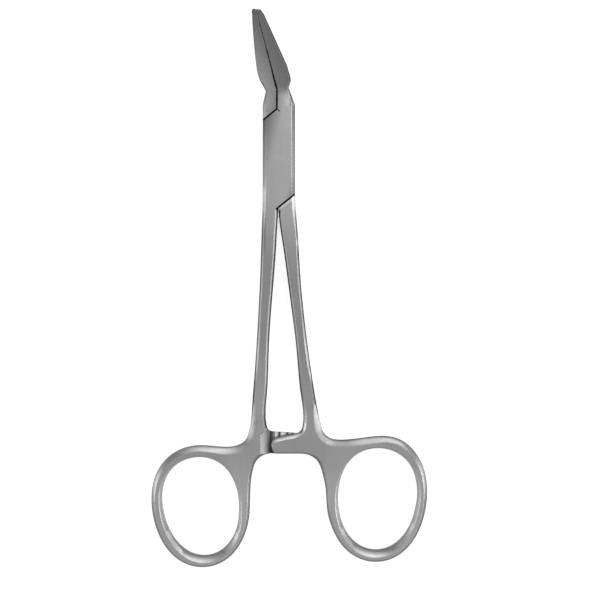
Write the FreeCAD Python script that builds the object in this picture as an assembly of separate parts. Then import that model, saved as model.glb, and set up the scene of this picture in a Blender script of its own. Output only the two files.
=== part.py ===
import FreeCAD, Part
import math
import os

os.makedirs("parts", exist_ok=True)

# Splinter forceps, 140 mm long, lying flat and closed. Millimetres.
# +X to the right, +Y from the finger rings to the jaws, +Z out of the front face.
# The origin is on the pivot axis, in the flat back face of the box.
# The female half carries the right jaw, the box and the left ring.
# The male half carries the left jaw, the tongue through the box and the right ring.

# Reaches along Y from the pivot
jaw_reach = 37.5
bend_height = 17.4
shoulder_height = 13.4
shank_start = 12.3
ratchet_drop = 68.6

# Thicknesses along Z, all about one middle plane
box_thickness = 4.8
neck_thickness = 4.2
jaw_tip_thickness = 1.7
handle_thickness = 3.7

# Box joint
box_width = 8.06
seam_angle = 38.5
upper_seam_height = 9.3
lower_seam_height = 8.9
slot_thickness = 1.9
pin_radius = 1.15
opening_angle = 70.0
stop_spare_angle = 3.0
upper_slot_wall = -0.45
lower_slot_wall = -0.16
relief_length = 0.95
relief_width = 0.26
relief_turn = -52.0
shoulder_bevel = 0.5
shoulder_bevel_depth = 0.2

# Fits and clearances between the halves
tongue_clearance = 0.05
pin_clearance = 0.03
seam_clearance = 0.22
end_clearance = 0.12
tooth_clearance = 0.05
ratchet_clearance = 0.1

# Jaws
parting_offset = -0.5
parting_lean = 14.7
crotch_gap = 0.5
neck_gap = 0.26
jaw_pitch = 0.52
jaw_teeth = 24
jaw_tooth_depth = 0.22
tooth_free_tip = 0.35
parting_groove_width = 0.3
parting_groove_depth = 0.3
right_jaw_width = 4.05
left_jaw_width = 3.8
tip_width = 1.3
right_neck_width = 2.95
left_neck_width = 2.72
trim_margin = 0.6

# Shanks, and the stations of their edges by share of the way down to the ratchet bar
shank_low = -9.0
left_outer_bow = 3.25
left_inner_bow = 2.95
right_outer_bow = 6.7
right_inner_bow = 6.2
gusset_round = 4.3
left_gusset_round = 3.6
left_gusset_sag = 0.3
right_gusset_sag = 1.5
left_lower_round = 4.5
right_lower_round = 5.2
inner_round = 1.6
outer_stations = (0.25, 0.42, 0.6, 0.78, 0.9)
inner_stations = (0.32, 0.5, 0.7, 0.86)

# Ratchet
front_arm_reach = 2.0
rear_arm_reach = 4.8
arm_width = 5.5
front_arm_round = 1.3
front_arm_slope = 1.6
rear_arm_slope = 0.4
step_wall = 3.7
step_bevel = 1.0
step_bevel_depth = 0.5
step_hollow = 1.5
ratchet_pitch = 2.0
ratchet_teeth = 3
ratchet_depth = 0.62
ratchet_flank = 0.55
first_tooth = -1.6

# Finger rings: centres, half sizes of the holes, bands of metal round them and how far the eggs lean
left_ring_x = -19.51
right_ring_x = 24.7
left_ring_below_bar = 18.73
right_ring_below_bar = 16.9
left_hole_half_width = 9.54
left_hole_half_length = 12.37
right_hole_half_width = 9.87
right_hole_half_length = 12.74
ring_side_band = 2.79
left_ring_end_band = 2.9
right_ring_end_band = 3.28
right_rim_shift = -0.25
right_rim_rise = 0.26
ring_fullness = 0.07
ring_squareness = 0.022
left_hole_lean = 9.1
left_rim_lean = 3.5
right_hole_lean = -4.3
right_rim_lean = -1.4

# Ground bevels round the front and back faces: width on the face, and depth down the side
box_bevel = 0.9
shank_bevel = 0.65
gusset_bevel = 1.7
ring_top_bevel = 1.45
ring_bottom_bevel = 0.4
jaw_bevel = 0.35
arm_top_bevel = 0.9
arm_bevel = 0.3
box_bevel_depth = 0.55
shank_bevel_depth = 0.55
ring_bevel_depth = 0.8
jaw_bevel_depth = 0.3

# Every bevel has a steep outer facet and a shallow inner one. The break is the share of the bevel's width
# taken by the steep one, the rest is the share of its depth left for the shallow one.
handle_break = 0.3
handle_rest = 0.5
box_break = 0.7
box_rest = 0.2
bevel_overrun = 0.3

# Slopes of the finger-hole walls, and their section: share of the half thickness, share of the slope
hole_top_slope = 0.25
hole_side_slope = 0.75
hole_bottom_slope = 1.9
hole_section = [(0.35, 0), (0.7, 0.3), (1, 1), (1.3, 1.9)]

mid = box_thickness / 2
half_width = box_width / 2
bar_low = -ratchet_drop - arm_width
left_ring = (left_ring_x, -ratchet_drop - left_ring_below_bar)
right_ring = (right_ring_x, -ratchet_drop - right_ring_below_bar)
far = 2 * ratchet_drop + jaw_reach
V = FreeCAD.Vector


def between(stations, y):
    """Straight-line value at y between stations of (y, value), in rising y."""
    for (y0, a), (y1, b) in zip(stations, stations[1:]):
        if y <= y1:
            return a + (b - a) * (max(y, y0) - y0) / (y1 - y0)
    return stations[-1][1]


# The side view: flat box, shanks that thin towards the rings, jaws ground thin to the tip
side_stations = [
    (-far, handle_thickness / 2),
    (-ratchet_drop + inner_round, handle_thickness / 2),
    (-shank_start - seam_clearance, box_thickness / 2),
    (shoulder_height - trim_margin, box_thickness / 2),
    (bend_height, neck_thickness / 2),
    (jaw_reach, jaw_tip_thickness / 2),
    (jaw_reach + trim_margin, jaw_tip_thickness / 2)]

depth_stations = [
    (bar_low, ring_bevel_depth),
    (-ratchet_drop + 2 * gusset_round, shank_bevel_depth),
    (-shank_start * 1.5, shank_bevel_depth),
    (shank_low, box_bevel_depth),
    (shoulder_height, box_bevel_depth),
    (bend_height, jaw_bevel_depth)]

break_stations = [
    (-shank_start * 1.5, handle_break),
    (shank_low, box_break),
    (shoulder_height, box_break),
    (bend_height, handle_break)]

rest_stations = [
    (-shank_start * 1.5, handle_rest),
    (shank_low, box_rest),
    (shoulder_height, box_rest),
    (bend_height, handle_rest)]


def top_at(y):
    return mid + between(side_stations, y)


def depth_at(y):
    return between(depth_stations, y)


def break_at(y):
    return between(break_stations, y)


def break_height(y):
    return top_at(y) - between(rest_stations, y) * depth_at(y)


def overrun_height(y):
    """Height of the shallow facet's plane where the cutting loft ends, past the inner edge of the bevel."""
    return top_at(y) + between(rest_stations, y) * depth_at(y) * bevel_overrun / (1 - break_at(y))


def side_slab():
    front = [V(-far, y, mid + half) for y, half in side_stations]
    back = [V(-far, y, mid - half) for y, half in reversed(side_stations)]
    return Part.Face(Part.makePolygon(front + back + front[:1])).extrude(V(2 * far, 0, 0))


def plate(points, low, high):
    """Upright plate with straight sides through the points."""
    corners = [V(x, y, low) for x, y in points]
    return Part.Face(Part.makePolygon(corners + corners[:1])).extrude(V(0, 0, high - low))


# Outlines with ground bevels. A run is one line or curve of the outline: its points (x, y, bevel), and the
# directions at its ends where they matter. The runs go round the metal with the metal on their left.
def shares_along(points):
    steps = [math.dist(a[:2], b[:2]) for a, b in zip(points, points[1:])]
    shares = [0.0]
    for step in steps:
        shares.append(shares[-1] + step / sum(steps))
    shares[-1] = 1.0
    return shares


def run_edge(places, shares, ends):
    corners = [V(*place) for place in places]
    if len(corners) == 2:
        return Part.makeLine(corners[0], corners[1])
    curve = Part.BSplineCurve()
    if ends:
        length = sum(a.distanceToPoint(b) for a, b in zip(corners, corners[1:]))
        first, last = [V(*direction, 0).normalize() * length for direction in ends]
        curve.interpolate(Points=corners, Parameters=shares, InitialTangent=first, FinalTangent=last,
                          Scale=False)
    else:
        curve.interpolate(Points=corners, Parameters=shares)
    return curve.toShape()


def inward_normals(points, ends):
    shares = shares_along(points)
    edge = run_edge([(x, y, 0) for x, y, bevel in points], shares, ends)
    if len(points) == 2:
        along = [(edge.lastVertex().Point - edge.firstVertex().Point).normalize()] * 2
    else:
        along = [edge.Curve.tangent(share)[0].normalize() for share in shares]
    return [(-step.y, step.x) for step in along]


def corner_move(a, a_bevel, b, b_bevel):
    """Move of a corner that brings the sides with normals a and b inwards by their own bevels."""
    cross = a[0] * b[1] - a[1] * b[0]
    if abs(cross) < 0.1:
        return (a[0] * a_bevel, a[1] * a_bevel)
    return ((a_bevel * b[1] - b_bevel * a[1]) / cross, (b_bevel * a[0] - a_bevel * b[0]) / cross)


def inward_moves(runs):
    """Move of every point of every run from the outline to the inner edge of the bevel."""
    normals = [inward_normals(points, ends) for points, ends in runs]
    moves = []
    for number, (points, ends) in enumerate(runs):
        moved = [(n[0] * point[2], n[1] * point[2]) for n, point in zip(normals[number], points)]
        before = number - 1
        after = (number + 1) % len(runs)
        moved[0] = corner_move(normals[before][-1], runs[before][0][-1][2], normals[number][0], points[0][2])
        moved[-1] = corner_move(normals[number][-1], points[-1][2], normals[after][0], runs[after][0][0][2])
        moves.append(moved)
    return moves


def level_wire(runs, moves, share_at, height_at):
    edges = []
    for (points, ends), moved in zip(runs, moves):
        places = [(x + dx * share_at(y), y + dy * share_at(y), height_at(y))
                  for (x, y, bevel), (dx, dy) in zip(points, moved)]
        edges.append(run_edge(places, shares_along(points), ends))
    return Part.Wire(edges)


def bevelled_blank(runs):
    """Both faces of a half: a steep and a shallow facet all round, cut to the side view's thickness."""
    moves = inward_moves(runs)
    levels = [
        level_wire(runs, moves, lambda y: 0, lambda y: mid),
        level_wire(runs, moves, lambda y: 0, lambda y: top_at(y) - depth_at(y)),
        level_wire(runs, moves, break_at, break_height),
        level_wire(runs, moves, lambda y: 1 + bevel_overrun, overrun_height),
        level_wire(runs, moves, lambda y: 1 + bevel_overrun, lambda y: box_thickness + 1)]
    front = Part.makeLoft(levels, True, True)
    front = front.common(side_slab()).Solids[0]
    back = front.mirror(V(0, 0, mid), V(0, 0, 1))
    return front.fuse(back).removeSplitter()


def line_run(*points):
    return (list(points), None)


def arc_points(centre, radius, angles, bevel):
    return [(centre[0] + radius * math.cos(math.radians(angle)),
             centre[1] + radius * math.sin(math.radians(angle)), bevel) for angle in angles]


def egg_point(centre, half_w, half_l, lean, angle):
    turn = math.radians(angle)
    lean = math.radians(lean)
    square = 1 + ring_squareness * math.sin(2 * turn) ** 2
    x = half_w * math.cos(turn) * (1 + ring_fullness * math.sin(turn)) * square
    y = half_l * math.sin(turn) * square
    return (centre[0] + x * math.cos(lean) - y * math.sin(lean),
            centre[1] + x * math.sin(lean) + y * math.cos(lean))


def rim_point(centre, half_w, half_l, lean, angle):
    """Point of a ring's outer edge, with a bevel that is widest over the top."""
    x, y = egg_point(centre, half_w, half_l, lean, angle)
    swell = ((1 + math.sin(math.radians(angle))) / 2) ** 1.5
    return (x, y, ring_bottom_bevel + (ring_top_bevel - ring_bottom_bevel) * swell)


# The parting line between the jaws, and the diagonal seams of the box
def parting_x(y):
    return parting_offset - max(0, y - bend_height) * math.tan(math.radians(parting_lean))


def upper_seam_y(x):
    return upper_seam_height + (x + half_width) * math.tan(math.radians(seam_angle))


def lower_seam_y(x):
    return -lower_seam_height + (x - half_width) * math.tan(math.radians(seam_angle))


def jaw_point(side, along, width, bevel):
    """Point of a jaw's outer edge: share of the way from bend to tip, and width from the parting line."""
    y = bend_height + along * (jaw_reach - bend_height)
    return (parting_x(y) + side * width, y, bevel)


def right_jaw_runs():
    """From the right shoulder over the tip to the left side of the box, roomy along the parting line."""
    wide = right_jaw_width
    shoulder = (half_width, shoulder_height)
    notch = jaw_point(1, 0.02, right_neck_width, jaw_bevel)
    knuckle = [notch, jaw_point(1, 0.115, wide, jaw_bevel), jaw_point(1, 0.215, wide * 1.01, jaw_bevel),
               jaw_point(1, 0.3, wide, jaw_bevel)]
    heel = jaw_point(1, 0.93, tip_width * 1.3, jaw_bevel)
    corner = (parting_x(jaw_reach) + tip_width * 0.93, jaw_reach - jaw_bevel / 2, 0)
    taper = (heel[0] - knuckle[-1][0], heel[1] - knuckle[-1][1])
    inner_tip = (parting_x(jaw_reach) - trim_margin, jaw_reach)
    inner_bend = (parting_offset - trim_margin, bend_height)
    low = (parting_offset - trim_margin, shoulder_height)
    left = (-half_width, shoulder_height)
    return [
        line_run((half_width, -lower_seam_height, box_bevel), (*shoulder, box_bevel)),
        line_run((*shoulder, box_bevel), notch),
        (knuckle, [(0.25, 1), taper]),
        line_run(knuckle[-1], heel),
        ([heel, (*corner[:2], jaw_bevel)], None),
        line_run((*corner[:2], 0), (*inner_tip, 0)),
        line_run((*inner_tip, 0), (*inner_bend, 0)),
        line_run((*inner_bend, 0), (*low, 0)),
        line_run((*low, 0), (*left, 0))]


def left_jaw_runs():
    """From the right side of the tongue over the tip to the left shoulder."""
    wide = left_jaw_width
    notch = (parting_offset - left_neck_width, bend_height - trim_margin, jaw_bevel)
    side = [notch, jaw_point(-1, 0.104, wide * 0.955, jaw_bevel), jaw_point(-1, 0.2, wide, jaw_bevel),
            jaw_point(-1, 0.3, wide * 0.95, jaw_bevel), jaw_point(-1, 0.63, wide * 0.67, jaw_bevel),
            jaw_point(-1, 0.93, tip_width * 1.03, jaw_bevel)]
    corner = (parting_x(jaw_reach) - tip_width * 0.5, jaw_reach, jaw_bevel)
    inner_tip = (parting_x(jaw_reach) + trim_margin, jaw_reach)
    inner_bend = (parting_offset + trim_margin, bend_height)
    low = (parting_offset + trim_margin, shoulder_height)
    right = (half_width, upper_seam_height)
    shoulder = (-half_width, shoulder_height)
    return [
        line_run((half_width, shank_low, box_bevel), (*right, box_bevel)),
        line_run((*right, 0), (*low, 0)),
        line_run((*low, 0), (*inner_bend, 0)),
        line_run((*inner_bend, 0), (*inner_tip, 0)),
        line_run((*inner_tip, 0), (*corner[:2], 0)),
        ([corner, (corner[0] - tip_width * 0.28, jaw_reach - tip_width * 0.25, jaw_bevel), side[-1]],
         [(-1, 0), (0.03, -1)]),
        (side[::-1], [(0.03, -1), (0.35, -1)]),
        line_run(notch, (*shoulder, box_bevel)),
        line_run((*shoulder, box_bevel), (-half_width, shank_low, box_bevel))]


# Shank edges: how far they bow out from the box, by share of the way down to the ratchet bar
def left_outer_x(share):
    return -half_width - left_outer_bow * share ** 1.9


def left_inner_x(share):
    way = max(0, share - 0.17) / 0.8
    return lower_slot_wall - left_inner_bow * math.sin(math.pi / 2 * way) ** 1.35


def right_outer_x(share):
    return half_width + right_outer_bow * (0.2 * share + 0.8 * share ** 2.3)


def right_inner_x(share):
    way = max(0, share - 0.175) / 0.825
    return lower_slot_wall + right_inner_bow * way * (1 + 0.18 * math.sin(math.pi * way))


def left_handle_runs():
    """From the left side of the box down round the left ring and the rear arm, and up inside to the seam."""
    rim = (left_ring, left_hole_half_width + ring_side_band, left_hole_half_length + left_ring_end_band,
           left_rim_lean)
    outer = [(-half_width, shank_low, box_bevel)]
    outer += [(left_outer_x(share), -ratchet_drop * share, shank_bevel) for share in outer_stations]
    top_level = rim_point(*rim, 90)[1]
    gusset = (left_outer_x(1.05) - left_gusset_round, top_level + left_gusset_round)
    outer += arc_points(gusset, left_gusset_round, (-12, -38, -62), gusset_bevel)
    outer.append(((gusset[0] + left_ring_x) / 2, top_level - left_gusset_sag, gusset_bevel))
    outer += [rim_point(*rim, angle) for angle in range(90, 343, 18)]
    ring_side = rim_point(*rim, 5)
    outer.append((*ring_side[:2], shank_bevel))
    low = (ring_side[0] + 0.15 * left_lower_round + left_lower_round, bar_low - left_lower_round)
    outer += arc_points(low, left_lower_round, (175, 135, 90), shank_bevel)
    corner = (left_inner_x(0.97) + inner_round, -ratchet_drop + inner_round)
    inside = arc_points(corner, inner_round, (270, 225, 180), shank_bevel)
    inside += [(left_inner_x(share), -ratchet_drop * share, shank_bevel)
               for share in reversed(inner_stations)]
    inside += [(lower_slot_wall, lower_seam_y(lower_slot_wall), shank_bevel)]
    seam_end = (half_width, -lower_seam_height)
    arm_end = -ratchet_drop - rear_arm_slope
    return [
        line_run((-half_width, shoulder_height, box_bevel), outer[0]),
        (outer, [(0, -1), (1, 0)]),
        line_run((*outer[-1][:2], arm_bevel), (rear_arm_reach, bar_low, arm_bevel)),
        line_run((rear_arm_reach, bar_low, 0), (rear_arm_reach, arm_end, 0)),
        line_run((rear_arm_reach, arm_end, shank_bevel), inside[0]),
        (inside, [(-1, 0.08), (-lower_slot_wall, ratchet_pitch)]),
        line_run((*inside[-1][:2], 0), (*seam_end, 0))]


def right_handle_runs():
    """From the left of the box down inside, round the front arm and the right ring, and up to the box."""
    centre = (right_ring[0] + right_rim_shift, right_ring[1] + right_rim_rise)
    rim = (centre, right_hole_half_width + ring_side_band, right_hole_half_length + right_ring_end_band,
           right_rim_lean)
    slot = lower_slot_wall + end_clearance
    start = (slot, -shank_start - trim_margin)
    inside = [(*start, shank_bevel)]
    inside += [(right_inner_x(share), -ratchet_drop * share, shank_bevel) for share in inner_stations]
    corner = (right_inner_x(0.96) - inner_round, -ratchet_drop + inner_round * 0.8)
    inside += arc_points(corner, inner_round, (-5, -35, -70), arm_top_bevel)
    arm_top = -ratchet_drop - front_arm_slope
    arm_heel = front_arm_round - front_arm_reach
    inside += [(front_arm_reach, arm_top + front_arm_slope * 0.4, arm_top_bevel)]
    inside += [(arm_heel, arm_top, arm_top_bevel)]
    end = [(arm_heel, arm_top, arm_top_bevel), (-front_arm_reach, (arm_top + bar_low) / 2, arm_bevel),
           (arm_heel, bar_low, arm_bevel)]
    ring_side = rim_point(*rim, 175)
    low = (ring_side[0] - 0.17 * right_lower_round - right_lower_round, bar_low - right_lower_round)
    outer = arc_points(low, right_lower_round, (90, 45, 5), shank_bevel)
    outer.append((*ring_side[:2], shank_bevel))
    outer += [rim_point(*rim, angle) for angle in range(191, 443, 18)]
    top_level = rim_point(*rim, 90)[1] - right_gusset_sag
    gusset = (right_outer_x(0.98) + gusset_round, top_level + gusset_round)
    outer += arc_points(gusset, gusset_round, (275, 245, 215, 185), gusset_bevel)
    outer += [(right_outer_x(share), -ratchet_drop * share, shank_bevel)
              for share in reversed(outer_stations)]
    outer += [(half_width, shank_low, box_bevel)]
    return [
        line_run((-half_width, shank_low, 0), (*start, 0)),
        (inside, [(0.02, -1), (-1, -0.2)]),
        (end, [(-1, -0.2), (1, 0)]),
        line_run(end[-1], (*outer[0][:2], arm_bevel)),
        (outer, [(1, 0), (0, 1)])]


def parting_points(side):
    """Jaw face from the crotch to the tip, on the right (side 1) or the left (side -1).
    The fine cross teeth of one jaw lie in the gullets of the other."""
    lean = math.radians(parting_lean)
    length = (jaw_reach - tooth_free_tip - bend_height) / math.cos(lean)
    toothed = jaw_teeth * jaw_pitch
    face = side * tooth_clearance / 2

    def place(distance, off):
        return (parting_offset - math.sin(lean) * distance + math.cos(lean) * off,
                bend_height + math.cos(lean) * distance + math.sin(lean) * off)
    points = [(parting_offset + side * neck_gap / 2, bend_height - 2 * trim_margin)]
    points.append(place(length - toothed - 2 * jaw_pitch, side * neck_gap / 2))
    for tooth in range(jaw_teeth):
        distance = length - toothed + tooth * jaw_pitch
        points.append(place(distance, face - jaw_tooth_depth / 2))
        points.append(place(distance + jaw_pitch / 2, face + jaw_tooth_depth / 2))
    points.append(place(length, face))
    points.append(place(length + 4 * tooth_free_tip, face))
    return points


def groove(start, end, half_width_across, depth):
    """Shallow groove of diamond section from start to end, on the front face and mirrored on the back."""
    along = end - start
    side = V(along.y, -along.x, 0).normalize() * half_width_across
    deep = V(0, 0, depth)
    corners = [start - side, start - deep, start + side, start + deep, start - side]
    front = Part.Face(Part.makePolygon(corners)).extrude(along)
    return front.fuse(front.mirror(V(0, 0, mid), V(0, 0, 1)))


def parting_grooves():
    """Groove along the toothed part of the parting line."""
    low = jaw_reach - jaw_teeth * jaw_pitch
    high = jaw_reach + trim_margin
    start = V(parting_x(low), low, top_at(low))
    end = V(parting_x(high), high, top_at(high))
    return groove(start, end, parting_groove_width / 2, parting_groove_depth)


def left_jaw_space():
    """Everything to the left of the right jaw, above the upper seam."""
    crotch_x = parting_offset + crotch_gap / 2
    reach = half_width + left_jaw_width
    points = [(crotch_x, upper_seam_y(crotch_x))] + parting_points(1)
    points += [(-far, points[-1][1]), (-far, upper_seam_y(-reach)), (-reach, upper_seam_y(-reach))]
    return plate(points, -1, box_thickness + 1)


def right_jaw_space():
    """Everything to the right of the left jaw, above the tongue."""
    wall = upper_slot_wall - end_clearance
    points = [(wall, shank_start - crotch_gap), (parting_offset - crotch_gap / 2, shank_start)]
    points += parting_points(-1)
    points += [(far, points[-1][1]), (far, shank_start - crotch_gap)]
    return plate(points, -1, box_thickness + 1)


def finger_hole(centre, half_w, half_l, lean):
    """Cutter for a finger hole whose walls slope out to both faces, most of all at the bottom."""
    wires = []
    section = [(-level, slope) for level, slope in reversed(hole_section)] + hole_section
    for level, slope in section:
        wide = half_w + slope * hole_side_slope
        long = half_l + slope * (hole_bottom_slope + hole_top_slope) / 2
        shift = slope * (hole_bottom_slope - hole_top_slope) / 2
        points = []
        for angle in range(0, 360, 24):
            x, y = egg_point((centre[0], centre[1] - shift), wide, long, lean, angle)
            points.append(V(x, y, mid + level * handle_thickness / 2))
        curve = Part.BSplineCurve()
        curve.interpolate(points, PeriodicFlag=True)
        wires.append(Part.Wire(curve.toShape()))
    return Part.makeLoft(wires, True, True)


def end_radius():
    wall = half_width * math.tan(math.radians((opening_angle + stop_spare_angle) / 2))
    return math.hypot(half_width, wall)


def end_blocks(clearance):
    """Solid ends of the slot, each with a face curved about the pivot, grown by the clearance."""
    reach = shank_start + 3
    upper = Part.makeBox(reach, reach, box_thickness, V(upper_slot_wall - clearance, 0, 0))
    lower = Part.makeBox(reach, reach, box_thickness, V(lower_slot_wall + clearance - reach, -reach, 0))
    core = Part.makeCylinder(end_radius() - clearance, box_thickness)
    return upper.fuse(lower).cut(core)


def slot_space():
    reach = shank_start + trim_margin
    width = half_width + 3
    low = mid - slot_thickness / 2
    window = Part.makeBox(2 * width, 2 * reach, slot_thickness, V(-width, -reach, low))
    return window.cut(end_blocks(0))


def cheek_space():
    """Room that the two cheeks and their seams take from the male half, in front of and behind the tongue."""
    gap = seam_clearance / math.cos(math.radians(seam_angle))
    reach = half_width + 4
    high = upper_seam_y(1) + gap
    low = lower_seam_y(-1) - gap
    points = [(-reach, upper_seam_y(-reach) + gap), (1, high), (reach, high)]
    points += [(reach, lower_seam_y(reach) - gap), (-1, low), (-reach, low)]
    tongue = slot_thickness - 2 * tongue_clearance
    behind = plate(points, -1, mid - tongue / 2)
    before = plate(points, mid + tongue / 2, box_thickness + 1)
    return behind.fuse(before)


def shoulder_bevels():
    """Bevel along the male shoulder under the lower seam."""
    gap = seam_clearance / math.cos(math.radians(seam_angle))
    outside = half_width + trim_margin
    inside = lower_slot_wall - trim_margin
    start = V(inside, lower_seam_y(inside) - gap, box_thickness)
    end = V(outside, lower_seam_y(outside) - gap, box_thickness)
    return groove(start, end, shoulder_bevel, shoulder_bevel_depth)


def relief_cut():
    start = V(parting_offset + tongue_clearance, upper_seam_y(parting_offset) + seam_clearance, -1)
    cut = Part.makeBox(relief_length, relief_width, box_thickness + 2, V(0, -relief_width / 2, 0))
    cut.rotate(V(0, 0, 0), V(0, 0, 1), relief_turn)
    cut.translate(start)
    return cut


def ratchet_space():
    """Room in front of the rear arm: bevelled step, run-out hollow and saw teeth that face the other arm."""
    top = mid + handle_thickness / 2
    crest = mid - ratchet_clearance / 2
    root = crest - ratchet_depth
    end = rear_arm_reach + ratchet_pitch
    lip = top - step_bevel_depth
    points = [(-step_wall - step_bevel, top + 1), (-step_wall - step_bevel, top), (-step_wall, lip)]
    for turn in (30, 60, 90):
        angle = math.radians(turn)
        sunk = (lip - root) * (1 - math.cos(angle))
        points.append((-step_wall + step_hollow * math.sin(angle), lip - sunk))
    points.append((first_tooth - ratchet_flank, root))
    points.append((first_tooth, crest))
    for tooth in range(1, ratchet_teeth):
        x = first_tooth + tooth * ratchet_pitch
        points.append((x - ratchet_flank, root))
        points.append((x, crest))
    run_out = first_tooth + ratchet_teeth * ratchet_pitch - ratchet_flank
    points += [(run_out, root), (end, root), (end, top + 1)]
    corners = [V(x, bar_low - inner_round, z) for x, z in points]
    face = Part.Face(Part.makePolygon(corners + corners[:1]))
    space = face.extrude(V(0, arm_width + 2 * inner_round, 0))
    low = bar_low - inner_round
    high = -ratchet_drop + inner_round / 2
    left = -step_wall - step_bevel
    footprint = [(left, low), (end, low), (end, high), (left + inner_round, high), (left, high - inner_round)]
    return space.common(plate(footprint, 0, box_thickness + 1))


def mirrored_ratchet_space():
    """The same room behind the front arm: half a turn about the line between the two arms."""
    space = ratchet_space()
    centre = (rear_arm_reach - front_arm_reach) / 2
    space.rotate(V(centre, 0, mid), V(0, 1, 0), 180)
    return space


def female_half():
    body = bevelled_blank(right_jaw_runs() + left_handle_runs())
    hole = finger_hole(left_ring, left_hole_half_width, left_hole_half_length, left_hole_lean)
    for space in (left_jaw_space(), parting_grooves(), hole, ratchet_space(), slot_space(), relief_cut()):
        body = body.cut(space)
    return body.cut(Part.makeCylinder(pin_radius, box_thickness))


def male_half():
    body = bevelled_blank(left_jaw_runs() + right_handle_runs())
    hole = finger_hole(right_ring, right_hole_half_width, right_hole_half_length, right_hole_lean)
    for space in (right_jaw_space(), parting_grooves(), hole, mirrored_ratchet_space(),
                  end_blocks(end_clearance), cheek_space(), shoulder_bevels()):
        body = body.cut(space)
    return body.cut(Part.makeCylinder(pin_radius + pin_clearance, box_thickness))


def pivot_pin():
    return Part.makeCylinder(pin_radius, box_thickness)


female = female_half()
male = male_half()
pin = pivot_pin()
female.exportStep("parts/female_half.step")
male.exportStep("parts/male_half.step")
pin.exportStep("parts/pivot_pin.step")
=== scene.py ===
import math

import bmesh
import bpy
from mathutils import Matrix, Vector


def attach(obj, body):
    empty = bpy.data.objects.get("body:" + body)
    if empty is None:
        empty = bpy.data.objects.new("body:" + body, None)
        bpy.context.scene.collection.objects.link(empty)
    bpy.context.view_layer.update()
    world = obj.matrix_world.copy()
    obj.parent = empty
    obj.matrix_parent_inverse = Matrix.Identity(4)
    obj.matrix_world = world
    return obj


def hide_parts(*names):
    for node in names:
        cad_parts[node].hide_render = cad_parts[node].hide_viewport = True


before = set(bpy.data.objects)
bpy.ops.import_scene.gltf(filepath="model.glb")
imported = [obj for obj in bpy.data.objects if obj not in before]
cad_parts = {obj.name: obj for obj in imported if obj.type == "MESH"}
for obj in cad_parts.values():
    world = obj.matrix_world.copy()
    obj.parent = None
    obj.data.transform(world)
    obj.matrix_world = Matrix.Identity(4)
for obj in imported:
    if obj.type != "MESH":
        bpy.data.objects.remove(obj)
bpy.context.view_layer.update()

MM = 0.001

# Places on the instrument, in millimetres from the pivot axis, as in the CAD
half_box = 4.05
middle = 2.4
seam_slope = math.tan(math.radians(38.5))
seam_gap = 0.11 / math.cos(math.radians(38.5))
upper_seam = 9.3 + half_box * seam_slope + seam_gap
lower_seam = -8.9 - half_box * seam_slope - seam_gap
parting_x = -0.5
bend_y = 17.4
jaw_lean = math.radians(14.7)
tooth_pitch = 0.52
left_ring = (-19.5, -87.3)
right_ring = (24.7, -85.5)
gusset_valley = (16, -70, 4)
neck_corner = (2.4, 14.0, 0)
front_face = 4.2
picture_centre = (5.29, -35.57)
picture_width = 150.3

jaw_roughness = 0.5
corner_rounding = 0.22
room_light = 0.35
floor_glow = 0.9


# Shader helpers

def new_material(name):
    """An empty node material and its tree, ready to be wired."""
    material = bpy.data.materials.new(name)
    material.use_nodes = True
    material.node_tree.nodes.clear()
    return material, material.node_tree


def node(tree, kind, inputs=None, **settings):
    """A node with its settings, and its inputs as values or as sockets of other nodes."""
    made = tree.nodes.new(kind)
    for key, value in settings.items():
        setattr(made, key, value)
    for key, value in (inputs or {}).items():
        if isinstance(value, bpy.types.NodeSocket):
            tree.links.new(value, made.inputs[key])
        else:
            made.inputs[key].default_value = value
    return made


def math_node(tree, operation, a, b=0.0):
    return node(tree, "ShaderNodeMath", {0: a, 1: b}, operation=operation).outputs[0]


def vector_node(tree, operation, a, b, output):
    return node(tree, "ShaderNodeVectorMath", {0: a, 1: b}, operation=operation).outputs[output]


def plus(tree, a, b):
    return math_node(tree, "ADD", a, b)


def minus(tree, a, b):
    return math_node(tree, "SUBTRACT", a, b)


def most(tree, a, b):
    return math_node(tree, "MAXIMUM", a, b)


def product(tree, *factors):
    total = factors[0]
    for factor in factors[1:]:
        total = math_node(tree, "MULTIPLY", total, factor)
    return total


def blend(tree, mask, outside, inside):
    return node(tree, "ShaderNodeMix", {"Factor": mask, 2: outside, 3: inside}, data_type="FLOAT").outputs[0]


def separate(tree, vector):
    """The X, Y and Z parts of a vector."""
    return node(tree, "ShaderNodeSeparateXYZ", {0: vector}).outputs


def grey(tree, tone):
    return node(tree, "ShaderNodeCombineColor", {0: tone, 1: tone, 2: tone}).outputs[0]


def remap(tree, value, low, high, new_low, new_high, smooth=False):
    kind = "SMOOTHSTEP" if smooth else "LINEAR"
    made = node(tree, "ShaderNodeMapRange", {"Value": value, "From Min": low, "From Max": high,
                                             "To Min": new_low, "To Max": new_high},
                interpolation_type=kind, clamp=True)
    return made.outputs["Result"]


def span(tree, value, low, high, new_low, new_high, smooth=False):
    """Remap of a place, with low and high in millimetres."""
    return remap(tree, value, low * MM, high * MM, new_low, new_high, smooth)


def fall(tree, place, low, high, least=0.0):
    """1 below low, sinking smoothly to least at high."""
    return span(tree, place, low, high, 1.0, least, smooth=True)


def rise(tree, place, low, high, least=0.0):
    """From least below low smoothly up to 1 at high."""
    return span(tree, place, low, high, least, 1.0, smooth=True)


def zone(tree, x, y, left=None, right=None, bottom=None, top=None):
    """1 inside a zone and 0 outside; each border is the pair of places between which it fades."""
    sides = [rise(tree, place, *fade) for place, fade in ((x, left), (y, bottom)) if fade]
    sides += [fall(tree, place, *fade) for place, fade in ((x, right), (y, top)) if fade]
    return product(tree, *sides)


def factor_in(tree, mask, factor):
    """A factor that holds inside the mask, and 1 outside."""
    return remap(tree, mask, 0.0, 1.0, 1.0, factor)


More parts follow.
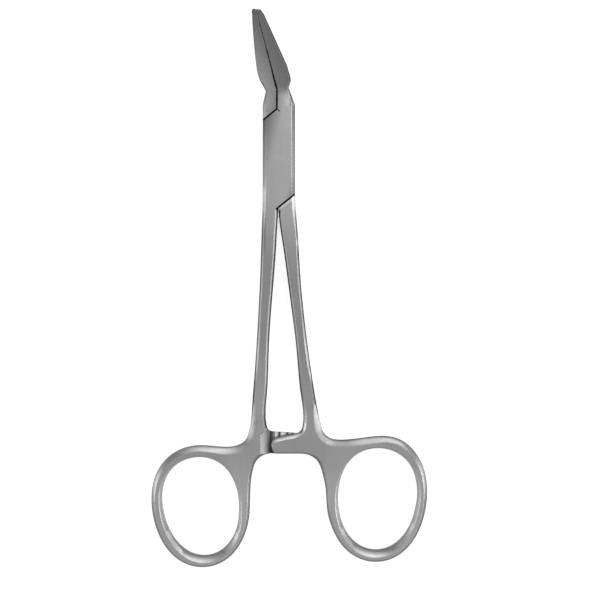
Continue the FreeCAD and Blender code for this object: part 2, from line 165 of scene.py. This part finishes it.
def noise(tree, place, scale, detail=3.0, roughness=0.5, turn=0.0):
    """Noise in millimetres: scale is the number of grains in a millimetre along X, Y and Z."""
    spread = node(tree, "ShaderNodeMapping", {"Vector": place, "Rotation": (0, 0, turn),
                                              "Scale": tuple(s / MM for s in scale)})
    grain = node(tree, "ShaderNodeTexNoise", {"Vector": spread.outputs[0], "Scale": 1.0,
                                              "Detail": detail, "Roughness": roughness})
    return grain.outputs["Fac"]


# Jaws and seams

def from_parting(tree, x, y):
    """Distance from the parting line of the jaws, which leans to the left above the bend."""
    above = most(tree, minus(tree, y, bend_y * MM), 0.0)
    lean = product(tree, above, math.tan(jaw_lean))
    return math_node(tree, "ABSOLUTE", plus(tree, minus(tree, x, parting_x * MM), lean))


def tooth_crests(tree, x, y):
    """1 on the crests of the jaw teeth and 0 in the hollows between them; near the tips they run together."""
    travel = minus(tree, product(tree, y, math.cos(jaw_lean)), product(tree, x, math.sin(jaw_lean)))
    wave = math_node(tree, "COSINE", product(tree, travel, 2 * math.pi / (tooth_pitch * MM)))
    crests = product(tree, remap(tree, wave, -0.3, 0.4, 0.0, 1.0), rise(tree, y, 26.5, 28))
    return most(tree, crests, rise(tree, y, 33, 35))


def tooth_line(tree, x, y, crests):
    """Masks of the crests and of the hollows beside the parting line."""
    line = fall(tree, from_parting(tree, x, y), 0.16, 0.26)
    hollows = product(tree, line, minus(tree, 1.0, crests), rise(tree, y, 25.5, 27))
    return product(tree, crests, line), hollows


def seam_residue_and_shade(tree, x, y):
    """Dark lines in the two diagonal seams of the box and along the parting line of the jaws: polishing residue
    and painted shade in the gaps.
    """
    height = minus(tree, y, product(tree, x, seam_slope))

    def dark_line(seam, past):
        apart = math_node(tree, "ABSOLUTE", minus(tree, height, seam * MM))
        return most(tree, rise(tree, apart, 0.22, 0.34, 0.03), past)

    upper = dark_line(upper_seam, rise(tree, x, -0.45, -0.3))
    lower = dark_line(lower_seam, fall(tree, x, -0.85, -0.7))
    thinner = span(tree, y, 15, 20, 0.08 * MM, 0.0)
    parting = rise(tree, minus(tree, from_parting(tree, x, y), thinner), 0.12, 0.2, 0.05)
    parting = most(tree, parting, fall(tree, y, 11.9, 12.1))
    parting = most(tree, parting, rise(tree, y, 23.5, 25.5))
    return product(tree, upper, lower, parting)


def groove_shade(tree, x, y, crests):
    """Narrow grooves are dark, but less so in the run-out hollow of the ratchet and on the tooth crests."""
    openness = node(tree, "ShaderNodeAmbientOcclusion", {"Distance": 0.5 * MM}, samples=8).outputs["AO"]
    run_out = zone(tree, x, y, right=(-1.2, -0.8), top=(-67, -66))
    darkest = plus(tree, remap(tree, run_out, 0.0, 1.0, 0.12, 0.75), crests)
    return remap(tree, openness, 0.3, 0.85, darkest, 1.0)


# Box

def painted_hollow_shade(tree, y, inwards, low, high, width, depth):
    """Painted shade inwards from one edge of the box; its width and depth grow along Y from low to high."""
    wide = span(tree, y, low, high, 0.3 * MM, width * MM)
    deep = span(tree, y, low, high, 0.0, depth)
    reach = math_node(tree, "DIVIDE", inwards, wide)
    return minus(tree, 1.0, product(tree, deep, remap(tree, reach, 0.0, 1.0, 1.0, 0.0)))


def box_shade(tree, x, y):
    """Painted shade towards two corners of the box, as if it were ground slightly hollow, and at its edges and
    on the right of the neck; a painted highlight at the corner of the neck.
    """
    left = painted_hollow_shade(tree, y, plus(tree, x, half_box * MM), -8, 15, 6, 0.95)
    left = most(tree, left, rise(tree, y, 16.2, 17.2))
    right = painted_hollow_shade(tree, y, minus(tree, half_box * MM, x), -2, -12, 3.2, 0.5)
    right = most(tree, right, fall(tree, y, -13.5, -12.5))

    left_edge = span(tree, x, -3.35, -3.15, span(tree, y, -8.5, -6.5, 0.72, 0.45), 1.0)
    edges = product(tree, left_edge, fall(tree, x, 2.8, 3.0, 0.88), fall(tree, x, 3.15, 3.3, 0.42))
    edges = most(tree, edges, fall(tree, y, -26, -13))
    edges = most(tree, edges, rise(tree, y, 12.9, 13.1))
    neck = most(tree, fall(tree, x, 2.5, 2.8, 0.6), fall(tree, y, 12.9, 13.1))

    # Painted highlight at the corner of the neck, where the bevel lines meet
    flat = node(tree, "ShaderNodeCombineXYZ", {"X": x, "Y": y}).outputs[0]
    corner = vector_node(tree, "DISTANCE", flat, tuple(c * MM for c in neck_corner), "Value")
    return product(tree, left, right, edges, neck, span(tree, corner, 0.2, 1.3, 1.17, 1.0))


# Handles

def side_shade(tree, x, y, level):
    """Upright sides are darker than the faces, most of all inside the crotch, and bright round the rings."""
    crotch = product(tree, fall(tree, math_node(tree, "ABSOLUTE", x), 3.2, 3.5),
                     span(tree, y, -50, -18, 0.0, 1.0), fall(tree, y, -13, -12))
    upright = span(tree, y, -75, -67, 1.4, 0.45, smooth=True)
    upright = most(tree, upright, rise(tree, y, 16.5, 17.5))
    return remap(tree, level, 0.7, 0.88, blend(tree, crotch, upright, 0.1), 1.0)


def finger_hole(tree, place, facing, ring):
    """Mask of the walls of the finger hole, which look towards its centre."""
    centre = (ring[0] * MM, ring[1] * MM, middle * MM)
    inward = vector_node(tree, "SUBTRACT", centre, place, "Vector")
    toward = vector_node(tree, "DOT_PRODUCT", inward, facing, "Value")
    distance = node(tree, "ShaderNodeVectorMath", {0: inward}, operation="LENGTH").outputs["Value"]
    return product(tree, span(tree, toward, 1.0, 4.0, 0.0, 1.0), fall(tree, distance, 17, 18))


def painted_hole_light(tree, facing, level):
    """Painted light on the walls of the finger holes, above all where they are steep."""
    upward = separate(tree, facing)["Y"]
    gentle = remap(tree, upward, 0.0, 0.3, 1.1, 0.7)
    lowest_part = remap(tree, upward, 0.35, 0.65, 1.0, 0.85)
    return product(tree, gentle, lowest_part, remap(tree, level, 0.3, 0.75, 2.3, 1.0))


def run_out_pit(tree, x, y):
    """Mask of the hollow where the teeth of the rear ratchet arm run out, left unpolished."""
    return zone(tree, x, y, left=(-3.7, -3.0), right=(-1.2, -0.8),
                bottom=(-74.9, -74.7), top=(-68.3, -68.0))


def rear_arm_shade(tree, x, y, sloped, side):
    """The bevelled step of the rear ratchet arm is darker, and its run-out hollow darker still."""
    step = zone(tree, x, y, left=(-4.8, -4.7), right=(-1.2, -0.8),
                bottom=(-74.6, -74.2), top=(-68.6, -68.2))
    side = product(tree, side, factor_in(tree, product(tree, step, sloped), 0.7))
    return blend(tree, run_out_pit(tree, x, y), side, span(tree, x, -3.0, -1.9, 0.5, 0.3))


def front_arm_shade(tree, place, x, y, level, sloped, side):
    """Painted shade in the valley of the gusset; painted highlights on the front ratchet arm and on the end at
    the lower seam.
    """
    spot = vector_node(tree, "DISTANCE", place, tuple(c * MM for c in gusset_valley), "Value")
    valley = span(tree, spot, 1.5, 5.0, 0.6, 1.0)
    valley = most(tree, valley, minus(tree, 1.0, sloped))
    steep = remap(tree, level, 0.7, 0.85, 1.0, 0.0, smooth=True)
    bevel = zone(tree, x, y, right=(7.5, 8.0), bottom=(-72.0, -71.5), top=(-69, -65.5))
    bevel = product(tree, bevel, sloped, minus(tree, 1.0, steep))
    wall = zone(tree, x, y, right=(5.0, 5.5), bottom=(-72.5, -72.0), top=(-67.0, -66.5))
    wall = product(tree, wall, steep)
    height = minus(tree, y, product(tree, x, seam_slope))
    end = zone(tree, x, height, left=(0.3, 0.6), right=(3.6, 3.9),
               bottom=(-13.3, -13.0), top=(-12.7, -12.55))
    return product(tree, side, valley, factor_in(tree, bevel, 2.3), factor_in(tree, wall, 2.6),
                   factor_in(tree, end, 1.6))


# Finishes

def satin_steel(name, ring, tone, lean, jaw_start, jaw_full, jaw_low, jaw_tip, box):
    """Belt-ground stainless steel: fine grain, handling marks, dark seams and duller, darker jaws, with painted
    light and shade.

    The tone is that of the handles and lean the angle of their grain. The jaw's finish begins at jaw_start and
    is full at jaw_full, with a tone from jaw_low to jaw_tip. With box the piece has the box and the rear arm.
    """
    material, tree = new_material(name)
    coordinates = node(tree, "ShaderNodeTexCoord").outputs
    place = coordinates["Object"]
    facing = coordinates["Normal"]
    x, y, _ = separate(tree, place)
    level = math_node(tree, "ABSOLUTE", separate(tree, facing)["Z"])
    sloped = remap(tree, level, 0.96, 0.99, 1.0, 0.0, smooth=True)

    fine = noise(tree, place, (9.0, 0.25, 9.0), 4, 0.6, lean)
    broad = noise(tree, place, (1.2, 0.05, 1.2), 3, 0.6, lean)
    cloud = noise(tree, place, (0.12, 0.07, 0.12), 4, 0.6)
    grit = noise(tree, place, (5.0, 5.0, 5.0), 3, 0.7)
    scuff = noise(tree, place, (0.5, 6.0, 0.5), 2, 0.5, 0.7)

    # Painted shade: the middle of the shanks is darker
    lines = remap(tree, fine, 0.3, 0.7, -0.014, 0.014)
    streak = plus(tree, lines, remap(tree, broad, 0.35, 0.65, -0.01, 0.01))
    shade = plus(tree, remap(tree, cloud, 0.3, 0.7, tone - 0.02, tone + 0.02), streak)
    above = span(tree, y, -30, -8, 0.72, 1.0, smooth=True)
    below = span(tree, y, -64, -42, 0.95, 0.72, smooth=True)
    shade = product(tree, shade, most(tree, above, below))

    # The jaws are dull and darker; their darkening towards the tips and the gradient across each jaw are
    # painted shade
    near, far = (1.05, 0.9) if box else (0.84, 1.15)
    dull_and_shaded = plus(tree, remap(tree, grit, 0.3, 0.7, -0.02, 0.02), span(tree, y, 13, 37.5, jaw_low, jaw_tip))
    dull_and_shaded = product(tree, dull_and_shaded, span(tree, from_parting(tree, x, y), 0.3, 3.2, near, far))
    jaw = span(tree, y, jaw_start, jaw_full, 0.0, 1.0, smooth=True)
    shade = blend(tree, jaw, shade, dull_and_shaded)

    # Painted shade on the slopes of the rings and arms, painted light on the walls of the finger holes and
    # towards the bottoms of the rings
    hole = finger_hole(tree, place, facing, ring)
    slope = product(tree, sloped, fall(tree, y, -60, -52))
    side = product(tree, side_shade(tree, x, y, level), factor_in(tree, slope, 0.72))
    side = blend(tree, hole, side, painted_hole_light(tree, facing, level))
    side = product(tree, side, span(tree, y, -86, -74, 1.2, 1.0, smooth=True))
    if box:
        side = rear_arm_shade(tree, x, y, sloped, side)
    else:
        side = front_arm_shade(tree, place, x, y, level, sloped, side)

    # Painted shade in the grooves, residue and painted shade in the seams, and the dotted line of the jaw
    # teeth: painted shade in the tooth hollows and a painted lighter tone on the crests
    crests = tooth_crests(tree, x, y)
    crest_line, hollow_line = tooth_line(tree, x, y, crests)
    shade = product(tree, shade, side, groove_shade(tree, x, y, crests), seam_residue_and_shade(tree, x, y),
                    factor_in(tree, hollow_line, 0.05))
    shade = blend(tree, crest_line, shade, span(tree, y, 32.5, 34, 0.42, 0.27))
    if box:
        shade = product(tree, shade, box_shade(tree, x, y))
    colour = grey(tree, math_node(tree, "MINIMUM", shade, 0.97))

    rough = plus(tree, remap(tree, cloud, 0.3, 0.7, 0.36, 0.42), remap(tree, scuff, 0.6, 0.75, 0.0, 0.06))
    rough = blend(tree, jaw, rough, jaw_roughness)

    steep_wall = product(tree, hole, remap(tree, level, 0.3, 0.7, 0.5, 0.0))
    matt = most(tree, crest_line, steep_wall)
    if box:
        matt = most(tree, matt, run_out_pit(tree, x, y))

    # Corners rounded a little by polishing, but not round the pin, whose end is polished out with the box
    flat = node(tree, "ShaderNodeCombineXYZ", {"X": x, "Y": y})
    reach = node(tree, "ShaderNodeVectorMath", {0: flat.outputs[0]}, operation="LENGTH").outputs["Value"]
    radius = span(tree, reach, 1.4, 1.8, 0.0, corner_rounding * MM)
    rounded = node(tree, "ShaderNodeBevel", {"Radius": radius}, samples=8)
    grain = plus(tree, product(tree, fine, 0.6), product(tree, grit, 0.25))
    bump = node(tree, "ShaderNodeBump", {"Strength": 0.1, "Distance": 0.02 * MM, "Height": grain,
                                         "Normal": rounded.outputs[0]})

    steel = node(tree, "ShaderNodeBsdfPrincipled", {"Base Color": colour, "Metallic": minus(tree, 1.0, matt),
                                                    "Roughness": rough, "Normal": bump.outputs[0],
                                                    "Anisotropic": 0.3})
    node(tree, "ShaderNodeOutputMaterial", {"Surface": steel.outputs[0]})
    return material


def floor_paper():
    """White sweep: plain paper under the light, seen as white by the camera, with the shadow kept."""
    material, tree = new_material("floor_paper")
    place = node(tree, "ShaderNodeTexCoord").outputs["Object"]
    fibre = noise(tree, place, (0.6, 0.6, 0.6), 3, 0.6)
    paper = node(tree, "ShaderNodeBsdfDiffuse", {"Color": grey(tree, remap(tree, fibre, 0.3, 0.7, 0.34, 0.36))})

    # The glow goes out where the instrument covers the paper almost wholly, most of all under the closed jaws
    cover = node(tree, "ShaderNodeAmbientOcclusion", {"Distance": 20 * MM}, samples=16).outputs["AO"]
    strength = remap(tree, cover, 0.02, 0.06, 0.0, floor_glow)
    x, y, _ = separate(tree, place)
    # A painted shadow on the paper under the parting line of the closed jaws, with a faint glow under the tooth
    # crests; it is left out where the jaws open and uncover the paper
    gap = product(tree, fall(tree, from_parting(tree, x, y), 0.22, 0.3), rise(tree, y, 11.8, 11.9),
                  fall(tree, y, 36, 36.5), remap(tree, cover, 0.15, 0.3, 1.0, 0.0))
    strength = blend(tree, gap, strength, product(tree, tooth_crests(tree, x, y), 0.15))
    glow = node(tree, "ShaderNodeEmission", {"Color": (1, 1, 1, 1), "Strength": strength})
    both = node(tree, "ShaderNodeAddShader", {0: paper.outputs[0], 1: glow.outputs[0]})
    seen = node(tree, "ShaderNodeLightPath").outputs["Is Camera Ray"]
    mix = node(tree, "ShaderNodeMixShader", {0: seen, 1: paper.outputs[0], 2: both.outputs[0]})
    node(tree, "ShaderNodeOutputMaterial", {"Surface": mix.outputs[0]})
    return material


# Pieces

def is_crease(edge):
    """Sharp corners, and the lines where a ground bevel meets a level face; curved faces stay smooth."""
    if len(edge.link_faces) != 2:
        return True
    turn = edge.calc_face_angle(0.0)
    level = any(abs(face.normal.z) > 0.99 for face in edge.link_faces)
    return turn > math.radians(28) or (level and turn > math.radians(5))


def finished_copy(name, body, material):
    """A copy of a CAD piece with its corners welded, its curved faces smooth and its ground edges crisp."""
    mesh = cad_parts[name].data.copy()
    obj = bpy.data.objects.new(name + "_finished", mesh)
    bpy.context.scene.collection.objects.link(obj)
    bm = bmesh.new()
    bm.from_mesh(mesh)
    bmesh.ops.remove_doubles(bm, verts=bm.verts, dist=0.0005 * MM)
    for face in bm.faces:
        face.smooth = True
    for edge in bm.edges:
        edge.smooth = not is_crease(edge)
    bm.to_mesh(mesh)
    bm.free()
    mesh.materials.clear()
    mesh.materials.append(material)
    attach(obj, body)
    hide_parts(name)
    return obj


# The two halves come off different belts, and the jaw of the male half turns dull already in the neck; the
# painted shade of the jaws differs between the halves
box_half = dict(tone=0.6, lean=-0.02, jaw_start=15.0, jaw_full=18.0, jaw_low=0.25, jaw_tip=0.17, box=True)
tongue_half = dict(tone=0.59, lean=0.06, jaw_start=5.0, jaw_full=12.0, jaw_low=0.37, jaw_tip=0.16, box=False)
female_steel = satin_steel("steel_female", left_ring, **box_half)
male_steel = satin_steel("steel_male", right_ring, **tongue_half)
pin_steel = satin_steel("steel_pin", left_ring, **box_half)
finished_copy("female_half", "box_half", female_steel)
finished_copy("male_half", "tongue_half", male_steel)
finished_copy("pivot_pin", "box_half", pin_steel)


# Studio

def add_floor():
    bpy.ops.mesh.primitive_plane_add(size=3.0, location=(0, 0, -0.1 * MM))
    floor = bpy.context.object
    floor.name = "floor"
    floor.data.materials.append(floor_paper())


def add_light(name, place, aim, width, power, height):
    light = bpy.data.lights.new(name, "AREA")
    light.shape = "RECTANGLE"
    light.size = width
    light.size_y = height
    light.energy = power
    obj = bpy.data.objects.new(name, light)
    obj.location = place
    obj.rotation_euler = (Vector(aim) - Vector(place)).to_track_quat("-Z", "Y").to_euler()
    bpy.context.scene.collection.objects.link(obj)


def add_world():
    """A softly lit room, seen as white by the camera."""
    world = bpy.data.worlds.new("studio")
    bpy.context.scene.world = world
    world.use_nodes = True
    tree = world.node_tree
    tree.nodes.clear()
    seen = node(tree, "ShaderNodeLightPath").outputs["Is Camera Ray"]
    room = node(tree, "ShaderNodeBackground", {"Color": (1, 1, 1, 1), "Strength": room_light})
    white = node(tree, "ShaderNodeBackground", {"Color": (1, 1, 1, 1), "Strength": 1.0})
    mix = node(tree, "ShaderNodeMixShader", {0: seen, 1: room.outputs[0], 2: white.outputs[0]})
    node(tree, "ShaderNodeOutputWorld", {"Surface": mix.outputs[0]})


def add_camera():
    """Straight down on the front face, with the rings at the bottom of the picture."""
    camera = bpy.data.cameras.new("camera")
    camera.sensor_width = 36.0
    camera.lens = 150.0
    height = picture_width * camera.lens / camera.sensor_width
    obj = bpy.data.objects.new("camera", camera)
    obj.location = (picture_centre[0] * MM, picture_centre[1] * MM, (front_face + height) * MM)
    bpy.context.scene.collection.objects.link(obj)
    bpy.context.scene.camera = obj


add_floor()
add_world()
centre = (5 * MM, -35 * MM, 2 * MM)
add_light("key", (0.17, 0.5, 0.62), centre, 0.7, 2.0, 0.3)
add_light("side", (0.65, -0.04, 0.42), centre, 0.3, 1.6, 0.5)
add_light("left", (-0.7, 0.0, 0.38), centre, 0.3, 1.1, 0.5)
add_light("top", (0.05, 0.15, 0.95), centre, 0.35, 0.18, 0.35)
add_camera()
bpy.context.scene.view_settings.view_transform = "Standard"
